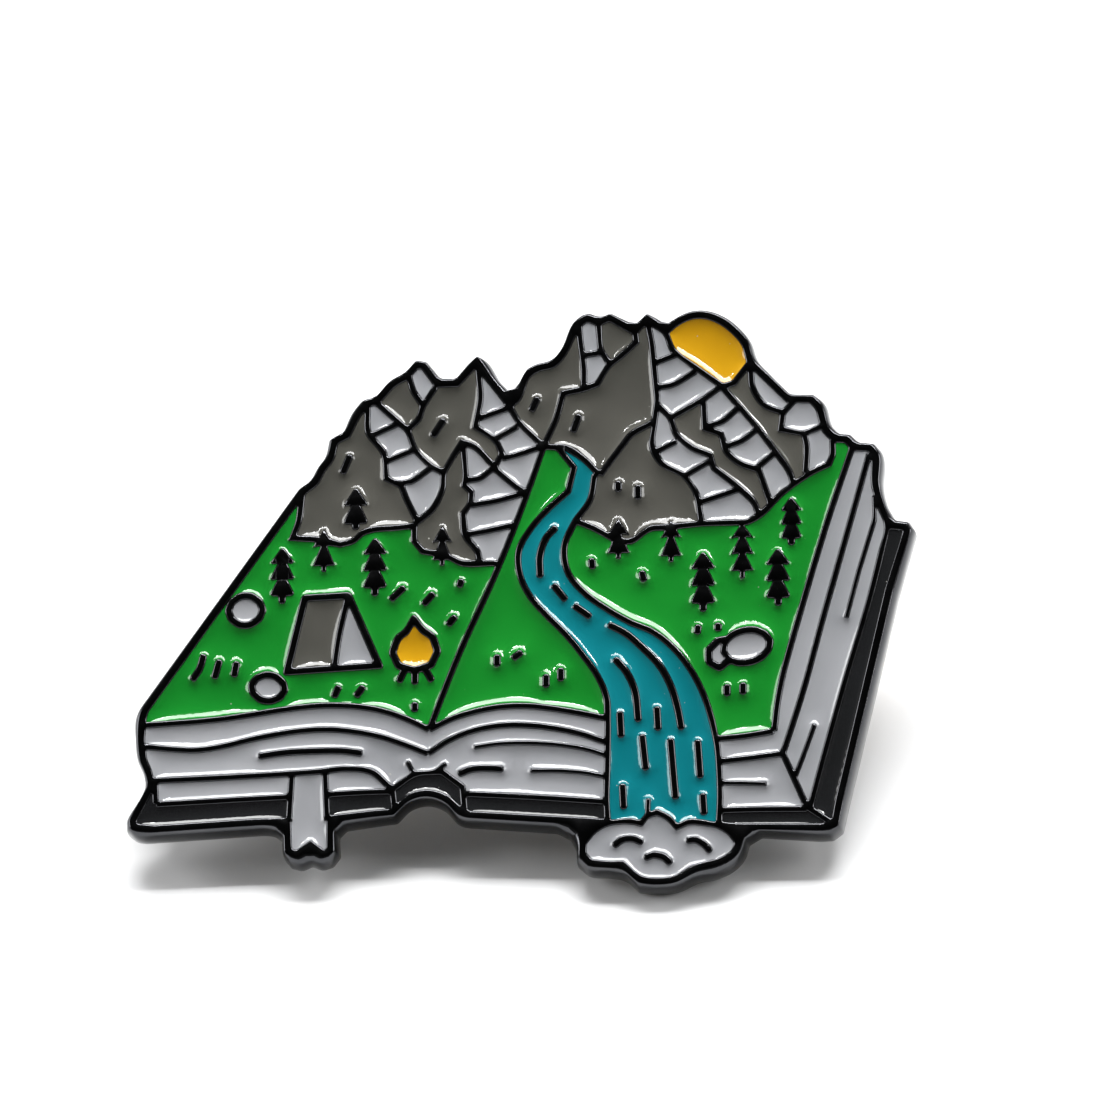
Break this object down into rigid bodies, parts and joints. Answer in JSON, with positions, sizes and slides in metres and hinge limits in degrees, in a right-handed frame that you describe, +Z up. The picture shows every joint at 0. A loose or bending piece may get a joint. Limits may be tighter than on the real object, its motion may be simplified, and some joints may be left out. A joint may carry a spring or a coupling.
{
  "type": "enamel pin",
  "caption": "Soft-enamel lapel pin: an open book with a mountain valley and a river that falls off its page, on posts with butterfly clutches.",
  "frame": {"origin": "bottom centre of the bounding box, on the surface that the pin leans on", "axes": "+X along the covers of the book, to the right as seen from the front; +Y away from the viewer, the way the pin leans back; +Z up. The back of the plate is tilted 26.3 degrees from the surface."},
  "size_m": [0.0322, 0.0224, 0.0119],
  "materials": {
    "black_nickel": "polished black nickel plate over a die-struck zinc alloy",
    "meadow_enamel": "glossy hardened soft enamel, green",
    "water_enamel": "glossy hardened soft enamel, teal",
    "rock_enamel": "glossy hardened soft enamel, dark warm grey",
    "pale_enamel": "glossy hardened soft enamel, light grey",
    "amber_enamel": "glossy hardened soft enamel, amber",
    "cover_enamel": "glossy hardened soft enamel, near black",
    "nickel_plate": "bright nickel plate on steel",
    "clutch_brass": "stamped brass, lightly tarnished",
    "spring_brass": "hard-rolled spring brass"
  },
  "bodies": {
    "badge": {"plate": "black_nickel", "post_left": "nickel_plate", "post_right": "nickel_plate", "meadow_left_enamel": "meadow_enamel", "meadow_middle_enamel": "meadow_enamel", "meadow_right_enamel": "meadow_enamel", "river_enamel": "water_enamel", "sun_enamel": "amber_enamel", "campfire_enamel": "amber_enamel", "tent_front_enamel": "rock_enamel", "tent_side_enamel": "pale_enamel", "stone_left_enamel": "pale_enamel", "stone_front_enamel": "pale_enamel", "stone_right_enamel": "pale_enamel", "top_page_enamel": "pale_enamel", "front_pages_enamel": "pale_enamel", "lower_pages_left_enamel": "pale_enamel", "lower_pages_right_enamel": "pale_enamel", "corner_pages_enamel": "pale_enamel", "fore_edge_outer_enamel": "pale_enamel", "fore_edge_inner_enamel": "pale_enamel", "ribbon_enamel": "pale_enamel", "spine_enamel": "cover_enamel", "cover_front_left_enamel": "cover_enamel", "cover_front_ribbon_enamel": "cover_enamel", "cover_front_right_enamel": "cover_enamel", "cover_front_corner_enamel": "cover_enamel", "cover_side_enamel": "cover_enamel", "spray_cloud_enamel": "pale_enamel", "left_range_rock_1_enamel": "rock_enamel", "left_range_rock_2_enamel": "rock_enamel", "left_range_rock_3_enamel": "rock_enamel", "left_range_rock_4_enamel": "rock_enamel", "right_range_rock_1_enamel": "rock_enamel", "right_range_rock_2_enamel": "rock_enamel", "right_range_rock_3_enamel": "rock_enamel", "right_range_rock_4_enamel": "rock_enamel", "right_range_rock_5_enamel": "rock_enamel", "right_range_rock_6_enamel": "rock_enamel", "left_range_snow_1_enamel": "pale_enamel", "left_range_snow_2_enamel": "pale_enamel", "left_range_snow_3_enamel": "pale_enamel", "left_range_snow_4_enamel": "pale_enamel", "left_range_snow_5_enamel": "pale_enamel", "left_range_snow_6_enamel": "pale_enamel", "right_range_snow_1_enamel": "pale_enamel", "right_range_snow_2_enamel": "pale_enamel", "right_range_snow_3_enamel": "pale_enamel", "right_range_snow_4_enamel": "pale_enamel", "right_range_snow_5_enamel": "pale_enamel", "right_range_snow_6_enamel": "pale_enamel", "right_range_snow_7_enamel": "pale_enamel", "right_range_snow_8_enamel": "pale_enamel", "right_range_snow_9_enamel": "pale_enamel"},
    "clutch_left": {"clutch_left_cap": "clutch_brass"},
    "wing_left_inner": {"clutch_left_wing_inner": "spring_brass"},
    "wing_left_outer": {"clutch_left_wing_outer": "spring_brass"},
    "clutch_right": {"clutch_right_cap": "clutch_brass"},
    "wing_right_inner": {"clutch_right_wing_inner": "spring_brass"},
    "wing_right_outer": {"clutch_right_wing_outer": "spring_brass"}
  },
  "joints": [
    {"name": "clutch_left_slide", "type": "slide", "parent": "badge", "child": "clutch_left", "axis": [0, 0.4432, -0.8964], "range_m": [0, 0.008]},
    {"name": "clutch_left_squeeze_inner", "type": "hinge", "parent": "clutch_left", "child": "wing_left_inner", "pos_m": [-0.0017, 0.00437, 0.00435], "axis": [0, 0.8964, 0.4432], "range_deg": [0, 10], "stiffness_Nm_per_rad": 0.02},
    {"name": "clutch_left_squeeze_outer", "type": "hinge", "parent": "clutch_left", "child": "wing_left_outer", "pos_m": [-0.0069, 0.00437, 0.00435], "axis": [0, -0.8964, -0.4432], "range_deg": [0, 10], "stiffness_Nm_per_rad": 0.02},
    {"name": "clutch_right_slide", "type": "slide", "parent": "badge", "child": "clutch_right", "axis": [0, 0.4432, -0.8964], "range_m": [0, 0.008]},
    {"name": "clutch_right_squeeze_inner", "type": "hinge", "parent": "clutch_right", "child": "wing_right_inner", "pos_m": [0.0059, 0.00437, 0.00435], "axis": [0, -0.8964, -0.4432], "range_deg": [0, 10], "stiffness_Nm_per_rad": 0.02},
    {"name": "clutch_right_squeeze_outer", "type": "hinge", "parent": "clutch_right", "child": "wing_right_outer", "pos_m": [0.0111, 0.00437, 0.00435], "axis": [0, 0.8964, 0.4432], "range_deg": [0, 10], "stiffness_Nm_per_rad": 0.02}
  ],
  "couplings": [
    {"joint": "clutch_left_squeeze_outer", "follows": "clutch_left_squeeze_inner", "ratio": 1},
    {"joint": "clutch_right_squeeze_outer", "follows": "clutch_right_squeeze_inner", "ratio": 1}
  ]
}
